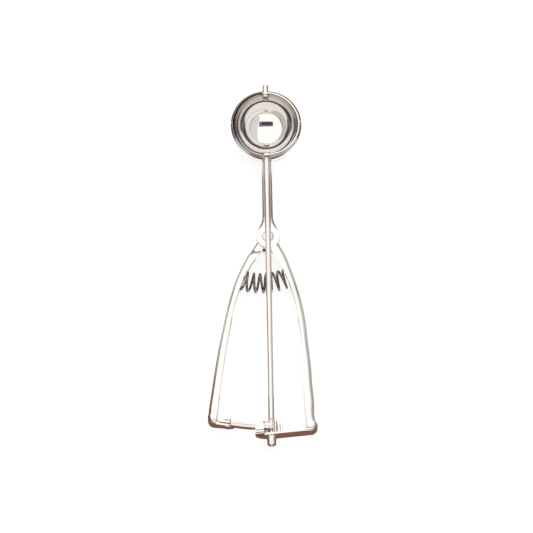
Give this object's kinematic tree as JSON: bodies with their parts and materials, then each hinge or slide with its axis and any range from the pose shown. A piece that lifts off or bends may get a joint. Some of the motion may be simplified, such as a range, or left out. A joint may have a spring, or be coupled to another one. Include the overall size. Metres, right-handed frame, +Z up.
{
  "type": "cookie scoop",
  "caption": "Steel cookie scoop: half-sphere bowl with a turning scraper blade, worked by a squeeze handle through a rack and pinion, with a return spring.",
  "frame": {"origin": "middle of the scoop's underside, in the plane of the table that it lies on", "axes": "+Y runs from the handles to the bowl, +X to the side of the fixed handle, +Z up out of the open bowl"},
  "size_m": [0.06, 0.2086, 0.0241],
  "materials": {
    "bowl_steel": "mirror-polished stainless steel",
    "handle_steel": "polished pressed stainless steel",
    "rivet_steel": "polished stainless steel, turned",
    "spring_steel": "drawn spring wire, darker and slightly brown",
    "gear_steel": "cut stainless steel, satin flanks",
    "rod_steel": "polished drawn stainless rod",
    "blade_steel": "polished stainless strip"
  },
  "bodies": {
    "frame": {"bowl": "bowl_steel", "fixed_handle": "handle_steel", "pivot_rivet": "rivet_steel", "pivot_spacer": "rivet_steel", "spring_seat_fixed": "rivet_steel", "spring": "spring_steel"},
    "squeeze": {"squeeze_handle": "handle_steel", "rack": "gear_steel", "rack_rivet": "rivet_steel", "spring_seat_squeeze": "rivet_steel"},
    "spindle": {"spindle_rod": "rod_steel", "pinion": "gear_steel", "scraper_blade": "blade_steel", "scraper_top_pin": "rod_steel"}
  },
  "joints": [
    {"name": "handle_squeeze", "type": "hinge", "parent": "frame", "child": "squeeze", "pos_m": [0.00475, 0.01795, 0.006], "axis": [0, 0, 1], "range_deg": [0, 3.7], "stiffness_Nm_per_rad": 1.5, "springref_deg": -11.46, "deforming": ["spring"]},
    {"name": "scraper_turn", "type": "hinge", "parent": "frame", "child": "spindle", "pos_m": [0.00475, 0.08105, 0.0195], "axis": [0, 0.9981, 0.0621], "range_deg": [0, 173.2]}
  ],
  "couplings": [
    {"joint": "scraper_turn", "follows": "handle_squeeze", "ratio": 46.82}
  ]
}
